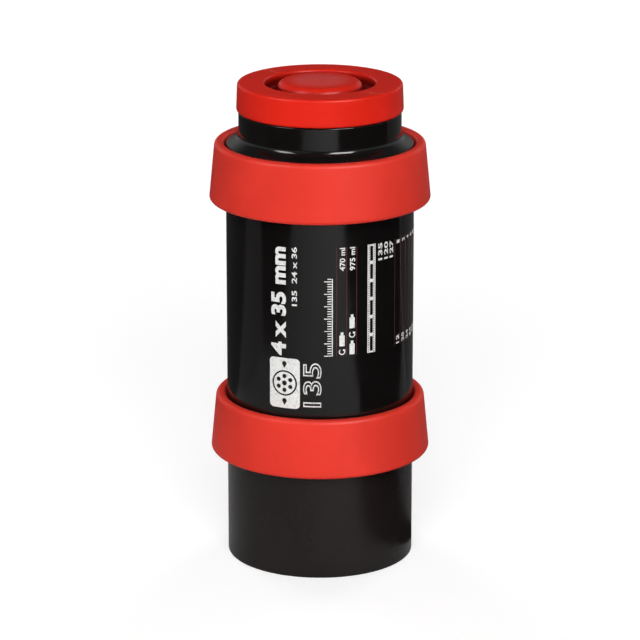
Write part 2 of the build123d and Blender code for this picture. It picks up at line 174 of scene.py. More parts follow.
def blended(tree, mask, under, over):
    """Two colours mixed by a mask, each a socket or a red, green and blue."""
    node = tree.nodes.new("ShaderNodeMix")
    node.data_type = "RGBA"
    tree.links.new(mask, node.inputs["Factor"])
    colour_a, colour_b = node.inputs[6], node.inputs[7]
    for socket, value in ((colour_a, under), (colour_b, over)):
        if isinstance(value, tuple):
            socket.default_value = (*value, 1)
        else:
            tree.links.new(value, socket)
    return node.outputs[2]


def build_mould_grain():
    """The surface that a blasted mould leaves: a fine even grain over a slow ripple."""
    inputs = [("Grain Scale", "NodeSocketFloat", 3000.0), ("Ripple Share", "NodeSocketFloat", 0.5)]
    group, entry, leave = effect_group("mould_grain", inputs, [("Height", "NodeSocketFloat")])
    place = group.nodes.new("ShaderNodeTexCoord").outputs["Object"]
    grain = noise(group, place, entry.outputs["Grain Scale"], detail=2.0)
    ripple = noise(group, place, scale=70.0, detail=1.0)
    share = calculate(group, "MULTIPLY", ripple, entry.outputs["Ripple Share"])
    group.links.new(calculate(group, "ADD", grain, share), leave.inputs["Height"])
    return group


HAIR_RUNS = ((0.35, (900.0, 900.0, 22.0)), (1.2, (700.0, 700.0, 30.0)), (-0.8, (26.0, 26.0, 900.0)))


def build_handling():
    """What handling leaves: cloudy smudges from wet fingers, and short fine scratches in all directions."""
    inputs = [("Scratch Amount", "NodeSocketFloat", 0.5)]
    outputs = [("Smudges", "NodeSocketFloat"), ("Scratches", "NodeSocketFloat")]
    group, entry, leave = effect_group("handling", inputs, outputs)
    place = group.nodes.new("ShaderNodeTexCoord").outputs["Object"]
    clouds = noise(group, place, scale=26.0, detail=4.0, distortion=0.8)
    group.links.new(remap(group, clouds, 0.42, 0.68), leave.inputs["Smudges"])
    total = 0.0
    for tilt, stretch in HAIR_RUNS:
        mapping = group.nodes.new("ShaderNodeMapping")
        mapping.inputs["Rotation"].default_value = (tilt, tilt / 2, tilt / 3)
        mapping.inputs["Scale"].default_value = stretch
        group.links.new(place, mapping.inputs["Vector"])
        hairs = remap(group, noise(group, mapping.outputs["Vector"], scale=1.0, detail=1.0), 0.71, 0.78)
        total = calculate(group, "ADD", hairs, total)
    patches = remap(group, noise(group, place, scale=60.0, detail=2.0), 0.5, 0.62)
    worn = calculate(group, "MULTIPLY", total, patches)
    amount = calculate(group, "MULTIPLY", worn, entry.outputs["Scratch Amount"])
    group.links.new(calculate(group, "MINIMUM", amount, 1.0), leave.inputs["Scratches"])
    return group


def build_edge_rub():
    """Where the proud edges have been rubbed: a broken mask along the sharpest ones."""
    inputs = [("Reach", "NodeSocketFloat", 0.56)]
    group, entry, leave = effect_group("edge_rub", inputs, [("Rub", "NodeSocketFloat")])
    sharpness = group.nodes.new("ShaderNodeNewGeometry").outputs["Pointiness"]
    place = group.nodes.new("ShaderNodeTexCoord").outputs["Object"]
    over = calculate(group, "SUBTRACT", sharpness, entry.outputs["Reach"])
    edge = remap(group, over, 0.0, 0.06)
    broken = remap(group, noise(group, place, scale=420.0, detail=4.0), 0.42, 0.6)
    group.links.new(calculate(group, "MULTIPLY", edge, broken), leave.inputs["Rub"])
    return group


def build_settled_dust():
    """Fine dust on whatever faces up."""
    inputs = [("Amount", "NodeSocketFloat", 0.2)]
    group, entry, leave = effect_group("settled_dust", inputs, [("Dust", "NodeSocketFloat")])
    facing = group.nodes.new("ShaderNodeSeparateXYZ")
    group.links.new(group.nodes.new("ShaderNodeNewGeometry").outputs["Normal"], facing.inputs[0])
    place = group.nodes.new("ShaderNodeTexCoord").outputs["Object"]
    level = remap(group, facing.outputs["Z"], 0.3, 0.95)
    specks = remap(group, noise(group, place, scale=3800.0, detail=2.0), 0.56, 0.78)
    lying = calculate(group, "MULTIPLY", level, specks)
    group.links.new(calculate(group, "MULTIPLY", lying, entry.outputs["Amount"]), leave.inputs["Dust"])
    return group


EFFECTS = {
    "grain": build_mould_grain(),
    "handling": build_handling(),
    "rub": build_edge_rub(),
    "dust": build_settled_dust(),
}


def place_effect(tree, effect, **values):
    """One effect group placed in a material with its own values."""
    node = tree.nodes.new("ShaderNodeGroup")
    node.node_tree = EFFECTS[effect]
    for label, value in values.items():
        node.inputs[label.replace("_", " ")].default_value = value
    return node.outputs


DUST_COLOUR = (0.62, 0.6, 0.57)
RUB_REACH = 0.56
GRAIN_DEPTH = 0.00005


def moulded_plastic(
    name, colour, rubbed, gloss, grain, scratches, dust=0.1, ripple=0.5, cloud=0.12, specular=0.5
):
    """A moulded plastic with its grain, handling marks, rubbed edges and a little dust.

    Gloss is the roughness where it is clean and where it is smudged. Grain is its scale and strength.
    Cloud is how far the colour strays to either side, and ripple is the share of the mould's slow wave.
    """
    material = bpy.data.materials.new(name)
    material.use_nodes = True
    tree = material.node_tree
    shader = tree.nodes["Principled BSDF"]
    shader.inputs["Specular IOR Level"].default_value = specular
    marks = place_effect(tree, "handling", Scratch_Amount=scratches)
    edges = place_effect(tree, "rub", Reach=RUB_REACH)
    lying = place_effect(tree, "dust", Amount=dust)
    grain_scale, grain_strength = grain
    relief = place_effect(tree, "grain", Grain_Scale=grain_scale, Ripple_Share=ripple)
    darker = tuple(channel * (1 - cloud) for channel in colour)
    lighter = tuple(channel * (1 + cloud) for channel in colour)
    tone = blended(tree, marks["Smudges"], darker, lighter)
    tone = blended(tree, calculate(tree, "MULTIPLY", marks["Scratches"], 0.35), tone, rubbed)
    tone = blended(tree, calculate(tree, "MULTIPLY", edges["Rub"], 0.5), tone, rubbed)
    tone = blended(tree, lying["Dust"], tone, DUST_COLOUR)
    tree.links.new(tone, shader.inputs["Base Color"])
    smooth = remap(tree, marks["Smudges"], 0.0, 1.0, *gloss)
    rough = calculate(tree, "ADD", smooth, calculate(tree, "MULTIPLY", marks["Scratches"], 0.2))
    rough = calculate(tree, "ADD", rough, calculate(tree, "MULTIPLY", edges["Rub"], 0.15))
    tree.links.new(rough, shader.inputs["Roughness"])
    bump = tree.nodes.new("ShaderNodeBump")
    bump.inputs["Strength"].default_value = grain_strength
    bump.inputs["Distance"].default_value = GRAIN_DEPTH
    cut = calculate(tree, "MULTIPLY", marks["Scratches"], 0.5)
    depth = calculate(tree, "SUBTRACT", relief["Height"], cut)
    tree.links.new(depth, bump.inputs["Height"])
    tree.links.new(bump.outputs["Normal"], shader.inputs["Normal"])
    return material


def mouth_wall(joint):
    """A module's mouth: the shallow groove, the bead that the ring grips, and the rim at the joint."""
    groove = joint - 21.5
    groove_depth = 0.6
    groove_top = groove + 0.8
    bead_radius = TANK_RADIUS + 1.0
    bead_foot = joint - 13.0
    bead_top = joint - 9.5
    return [
        (TANK_RADIUS, groove, 0.1),
        (TANK_RADIUS - groove_depth, groove + groove_depth),
        (TANK_RADIUS - groove_depth, groove_top),
        (TANK_RADIUS, groove_top + groove_depth, 0.1),
        (TANK_RADIUS, bead_foot, 0.3),
        (bead_radius, bead_foot + 1.0, 0.3),
        (bead_radius, bead_top, 0.3),
        (TANK_RADIUS, bead_top, 0.15),
        (TANK_RADIUS, joint, 0.35),
        (BORE_RADIUS + 0.4, joint, 0.15),
        (BORE_RADIUS, joint - 0.8, 0.3),
    ]


FLOOR_TOP = 3.2
FOOT_RECESS = 1.4
FOOT_RECESS_RADIUS = 37.2
FOOT_BORE = 38.6
GATE_RADIUS = 1.8
WITNESS_RADIUS = 30.7
CORE_BOSS_RADIUS = 10.6
CORE_BOSS_SIDE_TOP = 7.0
CORE_BOSS_TIP = 8.0
base_tank = turned("base_tank_shell", [
    (0, FOOT_RECESS - 0.3),
    (GATE_RADIUS - 0.3, FOOT_RECESS - 0.3, 0.2),
    (GATE_RADIUS, FOOT_RECESS, 0.1),
    (WITNESS_RADIUS - 0.7, FOOT_RECESS, 0.1),
    (WITNESS_RADIUS - 0.4, FOOT_RECESS - 0.2, 0.1),
    (WITNESS_RADIUS + 0.4, FOOT_RECESS - 0.2, 0.1),
    (WITNESS_RADIUS + 0.7, FOOT_RECESS, 0.1),
    (FOOT_RECESS_RADIUS, FOOT_RECESS, 0.8),
    (FOOT_BORE, 0, 0.5),
    (TANK_RADIUS, 0, 1.0),
    *mouth_wall(CUP_JOINT),
    (BORE_RADIUS, FLOOR_TOP, 2.5),
    (CORE_BOSS_RADIUS, FLOOR_TOP, 0.8),
    (CORE_BOSS_RADIUS, CORE_BOSS_SIDE_TOP, 1.6),
    (0, CORE_BOSS_TIP),
])
satin_black = moulded_plastic(
    "satin_black_abs", colour=(0.0098, 0.0068, 0.0062), rubbed=(0.11, 0.105, 0.1), gloss=(0.26, 0.34),
    grain=(2600.0, 0.25), scratches=0.04, dust=0.06, specular=0.42
)
base_tank.data.materials.append(satin_black)
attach(base_tank, "base")
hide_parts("base_tank")

# CORE TUBE
# The hollow core that poured liquid drains through. It stands on three feet over the floor's boss, and
# its foot flange carries the reels. Moulded in black ABS and left as it comes off the core pin.
core_black = moulded_plastic(
    "core_black_abs", colour=(0.017, 0.016, 0.016), rubbed=(0.1, 0.1, 0.1), gloss=(0.26, 0.36),
    grain=(2200.0, 0.2), scratches=0.35
)


def repaint(node, material):
    """A carried-over piece that keeps its shape and takes a new finish."""
    data = frame["nodes"][node].data
    data.materials.clear()
    data.materials.append(material)
    for polygon in data.polygons:
        polygon.material_index = 0


repaint("core_tube", core_black)

# FILM REELS
# Four identical two-part reels of natural white polyamide. The sleeves telescope and lock with lugs, and
# the wound film's edges run in the spiral ribs. Wet use has left them faintly cream and a little cloudy.
REELS = range(1, 5)


def natural_white():
    """Unfilled white plastic that light enters a little way."""
    material = moulded_plastic(
        "natural_white_nylon", colour=(0.74, 0.73, 0.68), rubbed=(0.86, 0.85, 0.81), gloss=(0.34, 0.46),
        grain=(1800.0, 0.2), scratches=0.3, dust=0.0, cloud=0.03
    )
    shader = material.node_tree.nodes["Principled BSDF"]
    shader.inputs["Subsurface Weight"].default_value = 0.25
    shader.inputs["Subsurface Radius"].default_value = (0.004, 0.0035, 0.003)
    shader.inputs["Subsurface Scale"].default_value = 0.5
    return material


reel_white = natural_white()
for reel in REELS:
    repaint(f"reel_{reel}_lower", reel_white)
    repaint(f"reel_{reel}_upper", reel_white)

# FILM-STOP CLIPS
# The small ridged thumb clip on each reel's upper flange. It is snapped into its pocket after moulding,
# and slid inwards to part two films wound into one reel. Red acetal, glossy from use.
clip_red = moulded_plastic(
    "clip_red_acetal", colour=(0.62, 0.022, 0.012), rubbed=(0.74, 0.12, 0.08), gloss=(0.25, 0.35),
    grain=(2400.0, 0.15), scratches=0.3
)
for reel in REELS:
    repaint(f"reel_{reel}_clip", clip_red)

# EXTENSION TUBE
# The module that adds height: an open black tube with a spigot below and a mouth above. It is moulded in
# a polished tool, so it is glossier than the base tank, and the scale is printed on its wall.
SPIGOT_RADIUS = 41.45
SPIGOT_BORE = 40.2
SPIGOT_LENGTH = 9.0


def spigot(joint):
    """The part of an upper module that enters the mouth below, from its bore to its shoulder."""
    return [
        (SPIGOT_BORE, joint - SPIGOT_LENGTH, 0.3),
        (SPIGOT_RADIUS, joint - SPIGOT_LENGTH, 0.4),
        (SPIGOT_RADIUS, joint + SEAM_GAP),
    ]


extension = turned("extension_tube_wall", [
    *spigot(CUP_JOINT),
    (TANK_RADIUS, CUP_JOINT + SEAM_GAP, 0.35),
    *mouth_wall(LID_JOINT),
    (BORE_RADIUS, CUP_JOINT + 3.2, 1.0),
    (SPIGOT_BORE, CUP_JOINT + 0.8, 1.0),
])
gloss_black = moulded_plastic(
    "gloss_black_abs", colour=(0.0045, 0.0038, 0.0036), rubbed=(0.08, 0.08, 0.08), gloss=(0.11, 0.17),
    grain=(2600.0, 0.05), scratches=0.12, dust=0.035, ripple=1.6
)
extension.data.materials.append(gloss_black)
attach(extension, "extension")
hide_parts("extension_tube")

# PRINTED SCALE
# The screen print on the extension's wall, read with the tank on its side: a film plate, the reel count
# and film width, filling volumes for turning and tipping, and a table of what each film size needs.
INK_PROUD = 0.05
INK_DEPTH = 0.04
INK_HALF = (INK_PROUD + INK_DEPTH) / 2
INK_STRIP = 1.2
MERGE_WITHIN = 1e-4
LETTER_SIZE_PER_HEIGHT = 1.35


def flat_shape(loops):
    """A closed flat solid from loops of points, where a loop inside another is a hole."""
    curve = bpy.data.curves.new("ink_outline", "CURVE")
    curve.dimensions = "2D"
    curve.fill_mode = "BOTH"
    curve.extrude = INK_HALF
    for loop in loops:
        spline = curve.splines.new("POLY")
        spline.points.add(len(loop) - 1)
        for point, (along, up) in zip(spline.points, loop):
            point.co = (along, up, 0, 1)
        spline.use_cyclic_u = True
    return solid_from(curve)


def solid_from(curve):
    """The merged mesh of a curve or a text, with the curve itself thrown away."""
    holder = bpy.data.objects.new("ink_holder", curve)
    bpy.context.scene.collection.objects.link(holder)
    graph = bpy.context.evaluated_depsgraph_get()
    data = bpy.data.meshes.new_from_object(holder.evaluated_get(graph))
    bpy.data.objects.remove(holder)
    mesh = bmesh.new()
    mesh.from_mesh(data)
    bpy.data.meshes.remove(data)
    bmesh.ops.remove_doubles(mesh, verts=mesh.verts, dist=MERGE_WITHIN)
    return mesh


def figures(words, length, height, bold=0.0, outline=0.0):
    """Digits and units as flat solids that fill a length and a height, all in millimetres."""
    curve = bpy.data.curves.new("ink_figures", "FONT")
    curve.body = words
    curve.size = height * LETTER_SIZE_PER_HEIGHT
    curve.offset = bold
    if outline:
        curve.fill_mode = "NONE"
        curve.bevel_depth = outline
        curve.bevel_resolution = 0
    else:
        curve.extrude = INK_HALF
    mesh = solid_from(curve)
    low = [min(vertex.co[axis] for vertex in mesh.verts) for axis in range(3)]
    high = [max(vertex.co[axis] for vertex in mesh.verts) for axis in range(3)]
    for vertex in mesh.verts:
        vertex.co.x = (vertex.co.x - low[0]) / (high[0] - low[0]) * length
        vertex.co.y = (vertex.co.y - low[1]) / (high[1] - low[1]) * height
        vertex.co.z = ((vertex.co.z - low[2]) / (high[2] - low[2]) * 2 - 1) * INK_HALF
    return mesh


def box_loop(along, up, length, height):
    """A rectangle from its lower corner."""
    return [(along, up), (along + length, up), (along + length, up + height), (along, up + height)]


def round_loop(along, up, radius, start=0.0, sweep=360.0, steps=28):
    """Points on a circle, or on part of one."""
    points = []
    for step in range(steps if sweep == 360 else steps + 1):
        turn = math.radians(start + sweep * step / steps)
        points.append((along + radius * math.cos(turn), up + radius * math.sin(turn)))
    return points


def soft_box_loop(along, up, length, height, corner):
    """A rectangle with round corners."""
    loop = []
    for number, (side, rise) in enumerate(((1, 1), (0, 1), (0, 0), (1, 0))):
        middle = (
            along + (length - corner if side else corner),
            up + (height - corner if rise else corner),
        )
        loop += round_loop(*middle, corner, start=90 * number, sweep=90, steps=7)
    return loop


def drop_loop(along, up, size):
    """A drop lying on its side, with its point towards the lower end."""
    round_part = round_loop(along, up, size / 2, start=-125, sweep=250, steps=18)
    return [*round_part, (along - size, up)]


def turning_sign(along, up, radius=1.55, thickness=0.5):
    """A bent arrow, for turning the tank on its axis."""
    start, sweep = 40, 260
    outer = round_loop(along, up, radius, start=start, sweep=sweep, steps=18)
    inner = round_loop(along, up, radius - thickness, start=start, sweep=sweep, steps=18)
    tip_turn = math.radians(start + sweep)
    tip_reach = 0.75
    middle = radius - thickness / 2
    tip = (along + middle * math.cos(tip_turn + tip_reach), up + middle * math.sin(tip_turn + tip_reach))
    wide = 1.5 * thickness
    low = (along + (middle + wide) * math.cos(tip_turn), up + (middle + wide) * math.sin(tip_turn))
    high = (along + (middle - wide) * math.cos(tip_turn), up + (middle - wide) * math.sin(tip_turn))
    return [[*outer, low, tip, high, *reversed(inner)]]


def tank_sign(along, up, length=6.6, height=2.5):
    """A tank seen from the side, lying down, with its neck towards the upper end."""
    neck = 0.22 * length
    inset = 0.24 * height
    return [[
        (along, up), (along + length - neck, up), (along + length - neck, up + inset),
        (along + length, up + inset), (along + length, up + height - inset),
        (along + length - neck, up + height - inset), (along + length - neck, up + height),
        (along, up + height),
    ]]


def film_sign(length, height, frames):
    """A strip of film: its frames, and a row of sprocket holes along both edges."""
    loops = [box_loop(0, 0, length, height)]
    holes = 8 * frames
    pitch = length / holes
    hole_length, hole_height = 0.5 * pitch, 0.13 * height
    edge = 0.11 * height
    for step in range(holes):
        for up in (edge, height - edge - hole_height):
            loops.append(box_loop((step + 0.25) * pitch, up, hole_length, hole_height))
    for number in range(frames):
        gap = 0.09 * length / frames
        window = length / frames - 2 * gap
        loops.append(box_loop(number * length / frames + gap, 0.31 * height, window, 0.38 * height))
    return loops


def wrapped(name, items, material):
    """Flat solids joined into one piece of ink and laid round the wall.

    Each item is a mesh, the place round the wall of its foot and the height of its left end. Places
    round the wall are arc lengths from the front, to the right.
    """
    ink = bmesh.new()
    for mesh, foot, start in items:
        widest = max(abs(vertex.co.y) for vertex in mesh.verts)
        for cut in range(1, math.ceil(widest / INK_STRIP)):
            geometry = mesh.verts[:] + mesh.edges[:] + mesh.faces[:]
            bmesh.ops.bisect_plane(mesh, geom=geometry, plane_co=(0, cut * INK_STRIP, 0), plane_no=(0, 1, 0))
        for vertex in mesh.verts:
            turn = (foot - vertex.co.y) / TANK_RADIUS
            radius = (TANK_RADIUS + (INK_PROUD if vertex.co.z > 0 else -INK_DEPTH)) * MM
            height = (start + vertex.co.x) * MM
            vertex.co = (radius * math.sin(turn), -radius * math.cos(turn), height)
        part = bpy.data.meshes.new("ink_part")
        mesh.to_mesh(part)
        mesh.free()
        ink.from_mesh(part)
        bpy.data.meshes.remove(part)
    bmesh.ops.recalc_face_normals(ink, faces=ink.faces)
    data = bpy.data.meshes.new(name)
    ink.to_mesh(data)
    ink.free()
    data.materials.append(material)
    piece = bpy.data.objects.new(name, data)
    bpy.context.scene.collection.objects.link(piece)
    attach(piece, "extension")
    return piece


def screen_ink(name, colour, thin_colour):
    """Opaque screen ink, a little thin where the squeegee lifted."""
    material = bpy.data.materials.new(name)
    material.use_nodes = True
    tree = material.node_tree
    shader = tree.nodes["Principled BSDF"]
    place = tree.nodes.new("ShaderNodeTexCoord").outputs["Object"]
    thin = remap(tree, noise(tree, place, scale=900.0, detail=4.0), 0.5, 0.75)
    tree.links.new(blended(tree, thin, colour, thin_colour), shader.inputs["Base Color"])
    marks = place_effect(tree, "handling", Scratch_Amount=0.3)
    tree.links.new(remap(tree, marks["Smudges"], 0.0, 1.0, 0.42, 0.56), shader.inputs["Roughness"])
    return material


TEXT_BOTTOM = CUP_JOINT + 33.6
TEXT_TOP = CUP_JOINT + 85.5
BLOCK = TEXT_TOP - TEXT_BOTTOM
RULE_PLACES = (7.8, 12.55, 17.45)
SMALL_FIGURE = 2.3
FILM_SIZES = ("135", "120", "127")
FILM_SIZE_PLACE = 31.2
FILM_SIZE_PITCH = 3.6
TABLE_START = 40.0
TABLE_PITCH = 4.7
TABLE_ROWS = (("12", "1"), ("20", "2"), ("24", "4"), ("36", "6"), ("48", "8"), ("72", "12"))
TICKS = 32
TICK_PITCH = 1.188
TICK_WIDTH = 0.42


def reel_plate(length=24.2, height=15.0, corner=2.0):
    """A plate with round corners: a reel seen from above, with a drop at each side of it."""
    along, up = length / 2, height / 2
    loops = [soft_box_loop(0, 0, length, height, corner)]
    loops += [round_loop(along, up, radius) for radius in (6.2, 5.4, 1.2)]
    window_circle, window_radius = 3.35, 1.05
    for window in range(6):
        turn = math.radians(60 * window)
        place = (along + window_circle * math.cos(turn), up + window_circle * math.sin(turn))
        loops.append(round_loop(*place, window_radius, steps=18))
    drop_size = 2.3
    return loops + [drop_loop(3.6, up, drop_size), drop_loop(21.6, up, drop_size)]


def tick_scale():
    """A ruled line with ticks on it, where every fifth tick is long."""
    loops = [box_loop(0, 0, 37.2, 0.45)]
    for tick in range(TICKS):
        loops.append(box_loop(tick * TICK_PITCH, 0.6, TICK_WIDTH, 3.4 if tick % 5 == 0 else 1.9))
    return loops


white_items = [
    (flat_shape(reel_plate()), -9.4, CUP_JOINT + 7.8),
    (figures("4 x 35 mm", length=BLOCK, height=7.6, bold=0.42), -16.0, TEXT_BOTTOM - 0.4),
    (figures("135  24 x 36", length=28.0, height=2.5, bold=0.06), -10.7, TEXT_TOP - 28.0),
    (figures("135", length=21.6, height=8.6, outline=0.34), 0.7, CUP_JOINT + 8.8),
    (flat_shape(tick_scale()), 5.9, TEXT_BOTTOM),
]
turning = turning_sign(1.6, 1.45) + tank_sign(4.3, 0.2)
tipping = tank_sign(0, 0.2) + turning_sign(9.6, 1.45) + tank_sign(12.6, 0.2)
for sign, volume, foot in (
    (turning, "470 ml", RULE_PLACES[0] + 3.9),
    (tipping, "975 ml", RULE_PLACES[1] + 4.0),
):
    white_items.append((flat_shape(sign), foot, TEXT_BOTTOM + 0.4))
    white_items.append((figures(volume, length=11.0, height=2.6, bold=0.07), foot, TEXT_TOP - 11.2))

white_items.append((flat_shape(film_sign(BLOCK, height=4.3, frames=6)), 27.2, TEXT_BOTTOM))
for number, film in enumerate(FILM_SIZES):
    foot = FILM_SIZE_PLACE + FILM_SIZE_PITCH * number
    white_items.append((figures(film, length=8.2, height=2.4, bold=0.08), foot, TEXT_TOP - 8.4))
for row, (exposures, films) in enumerate(TABLE_ROWS):
    foot = TABLE_START + TABLE_PITCH * (row + 1) - 1.2
    count_words = figures(exposures, length=4.2, height=SMALL_FIGURE, bold=0.06)
    white_items.append((count_words, foot, TEXT_BOTTOM + 0.8))
    films_length = 1.6 * len(films)
    films_words = figures(films, length=films_length, height=SMALL_FIGURE, bold=0.06)
    white_items.append((films_words, foot, TEXT_TOP - 1.0 - films_length))
white_ink = screen_ink("white_screen_ink", (0.78, 0.78, 0.76), (0.5, 0.5, 0.49))
wrapped("printed_scale_white", white_items, white_ink)

RULE_WIDTH = 0.28
rule = box_loop(0, 0, BLOCK, RULE_WIDTH)
table_rules = [TABLE_START + TABLE_PITCH * row for row in range(len(TABLE_ROWS) + 1)]
red_items = [(flat_shape([rule]), place, TEXT_BOTTOM) for place in (*RULE_PLACES, *table_rules)]
red_ink = screen_ink("red_screen_ink", (0.085, 0.01, 0.016), (0.05, 0.008, 0.011))
wrapped("printed_rules_red", red_items, red_ink)

# CLAMP RINGS
# Two identical rings of soft red plastic. Each is sprung over a module's bead, so that its lip catches
# under the bead and its land bears on both modules. Lifting the flared skirt frees the joint.
RING_RISE = 3.8
RING_DROP = 24.0
RING_MOUTH_RADIUS = 45.1
RING_TOP_RADIUS = 49.2
RING_SKIRT_RADIUS = 51.9
RING_SKIRT_WALL = 2.2
RING_SLOT_RADIUS = 47.85
RING_SLOT_DROP = 5.0
RING_LEG_RADIUS = 46.9
RING_LIP_RADIUS = 44.4
RING_LIP_TOP_DROP = 17.2
RING_LIP_BOTTOM_DROP = 19.4
RING_GROOVE_RADIUS = 45.4
RING_LAND_RADIUS = 44.15
RING_LAND_BOTTOM_DROP = 9.3
RING_LAND_TOP_RISE = 0.8
soft_red = moulded_plastic(
    "soft_red_plastic", colour=(0.735, 0.031, 0.016), rubbed=(0.8, 0.11, 0.07), gloss=(0.42, 0.52),
    grain=(1500.0, 0.35), scratches=0.1, dust=0.03, cloud=0.05, specular=0.3
)
for side, joint in (("lower", CUP_JOINT), ("upper", LID_JOINT)):
    ring = turned(side + "_clamp_ring_body", [
        (RING_MOUTH_RADIUS, joint + RING_RISE, 1.6),
        (RING_TOP_RADIUS, joint + RING_RISE, 2.2),
        (RING_SKIRT_RADIUS, joint - RING_DROP, 1.6),
        (RING_SKIRT_RADIUS - RING_SKIRT_WALL, joint - RING_DROP, 0.5),
        (RING_SLOT_RADIUS, joint - RING_SLOT_DROP, 0.4),
        (RING_LEG_RADIUS, joint - RING_SLOT_DROP, 0.3),
        (RING_LEG_RADIUS, joint - RING_LIP_BOTTOM_DROP, 0.5),
        (RING_LIP_RADIUS, joint - RING_LIP_BOTTOM_DROP, 0.5),
        (RING_LIP_RADIUS, joint - RING_LIP_TOP_DROP, 0.3),
        (RING_GROOVE_RADIUS, joint - RING_LIP_TOP_DROP + 1.0, 0.3),
        (RING_GROOVE_RADIUS, joint - RING_LAND_BOTTOM_DROP, 0.2),
        (RING_LAND_RADIUS, joint - RING_LAND_BOTTOM_DROP, 0.2),
        (RING_LAND_RADIUS, joint + RING_LAND_TOP_RISE, 0.8),
    ])
    ring.data.materials.append(soft_red)
    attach(ring, side + "_ring")
    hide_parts(side + "_clamp_ring")

# FUNNEL LID
# The lid is a glossy black moulding: a spigot, a sloping shoulder that the upper ring holds down, and the
# pouring neck. A ledge inside the neck takes the funnel, and the neck steps in where the cap goes over.
FLANGE_RADIUS = TANK_RADIUS - 0.1
NECK_RADIUS = 38.0
NECK_BORE = 34.8
NECK_INSIDE_RADIUS = 35.8
NECK_TOP = 226.0
LEDGE_RADIUS = 33.4
LEDGE_HEIGHT = 212.0
LEDGE_BOTTOM = LEDGE_HEIGHT - 1.4
CAP_SEAT_RADIUS = 36.5
CAP_SEAT_HEIGHT = 215.4
lid = turned("funnel_lid_shell", [
    *spigot(LID_JOINT),
    (FLANGE_RADIUS, LID_JOINT + SEAM_GAP, 0.3),
    (FLANGE_RADIUS, LID_JOINT + 3.0, 0.8),
    (NECK_RADIUS, LID_JOINT + 6.0, 2.6),
    (NECK_RADIUS, CAP_SEAT_HEIGHT, 0.4),
    (CAP_SEAT_RADIUS, CAP_SEAT_HEIGHT, 0.15),
    (CAP_SEAT_RADIUS, NECK_TOP, 0.6),
    (NECK_BORE, NECK_TOP, 0.6),
    (NECK_BORE, LEDGE_HEIGHT, 0.1),
    (LEDGE_RADIUS, LEDGE_HEIGHT, 0.15),
    (LEDGE_RADIUS, LEDGE_BOTTOM, 0.3),
    (NECK_INSIDE_RADIUS, LEDGE_BOTTOM - 2.4, 1.0),
    (NECK_INSIDE_RADIUS, LID_JOINT + 4.8, 1.5),
    (SPIGOT_BORE, LID_JOINT + 1.8, 1.5),
])
lid.data.materials.append(gloss_black)
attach(lid, "lid")
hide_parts("funnel_lid")

# FUNNEL
# The funnel drops onto the ledge in the neck. Its spout stands inside the core, a collar hangs round the
# core's top and a trough hangs under the six vents, so that liquid and air pass but light does not.
funnel_black = moulded_plastic(
    "funnel_black_abs", colour=(0.014, 0.013, 0.013), rubbed=(0.1, 0.1, 0.1), gloss=(0.24, 0.34),
    grain=(2600.0, 0.2), scratches=0.4, dust=0.05
)
repaint("funnel_insert", funnel_black)

# CAP
# The cap is a push fit on the neck, in a harder red than the rings. A plug lip seals inside the neck, and
# a tapered boss in a deep finger trough gives a grip to pull it off. Its side is drafted for the mould.
TOTAL_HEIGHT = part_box("lid_cap")[1].z / MM
CAP_WALL = 2.2
CAP_RADIUS = 39.0
CAP_DRAFT = 0.5
CAP_BORE = 36.8
CAP_BOTTOM = 215.7
CAP_RIM_TOP = TOTAL_HEIGHT - 1.0
CAP_CEILING = CAP_RIM_TOP - CAP_WALL
PLUG_RADIUS = 34.6
PLUG_BORE = 33.4
PLUG_END = 221.5
TROUGH_RADIUS = 25.9
TROUGH_FLOOR = 223.2
TROUGH_UNDER = TROUGH_FLOOR - CAP_WALL
BOSS_RADIUS = 19.7
BOSS_BORE = BOSS_RADIUS - CAP_WALL
BOSS_EDGE = TOTAL_HEIGHT - 0.5
cap = turned("lid_cap_shell", [
    (CAP_RADIUS, CAP_BOTTOM, 1.2),
    (CAP_RADIUS - CAP_DRAFT, CAP_RIM_TOP, 1.4),
    (TROUGH_RADIUS, CAP_RIM_TOP, 1.2),
    (TROUGH_RADIUS - 0.6, TROUGH_FLOOR, 1.2),
    (BOSS_RADIUS + 0.3, TROUGH_FLOOR, 0.8),
    (BOSS_RADIUS, BOSS_EDGE, 3.4),
    (0, TOTAL_HEIGHT),
    (0, TOTAL_HEIGHT - CAP_WALL),
    (BOSS_BORE, BOSS_EDGE - CAP_WALL, 1.6),
    (BOSS_BORE, TROUGH_UNDER, 0.3),
    (TROUGH_RADIUS + CAP_WALL, TROUGH_UNDER, 0.3),
    (TROUGH_RADIUS + CAP_WALL, CAP_CEILING, 0.6),
    (PLUG_BORE, CAP_CEILING, 0.4),
    (PLUG_BORE, PLUG_END, 0.4),
    (PLUG_RADIUS, PLUG_END, 0.4),
    (PLUG_RADIUS, CAP_CEILING, 0.4),
    (CAP_BORE, CAP_CEILING, 0.5),
    (CAP_BORE, CAP_BOTTOM, 0.4),
])
cap_red = moulded_plastic(
    "cap_red_plastic", colour=(0.7, 0.0145, 0.005), rubbed=(0.78, 0.1, 0.06), gloss=(0.3, 0.38),
    grain=(2000.0, 0.25), scratches=0.12, dust=0.03, cloud=0.04, specular=0.2
)
# Painted shade: the finger trough's colour is darkened with depth below the rim, in place of the shade that
# falls deep in it.
PAINTED_SHADE_DEPTH = 0.003
PAINTED_SHADE_COLOUR = (0.13, 0.0008, 0.0003)
# Painted sheen: the boss top is mixed a little towards grey, in place of the sheen it reflects.
PAINTED_SHEEN_COLOUR = (0.5, 0.5, 0.52)
PAINTED_SHEEN_SHARE = 0.09
PAINTED_SHEEN_RADIUS = 10.0
PAINTED_SHEEN_EDGE_RADIUS = 15.5


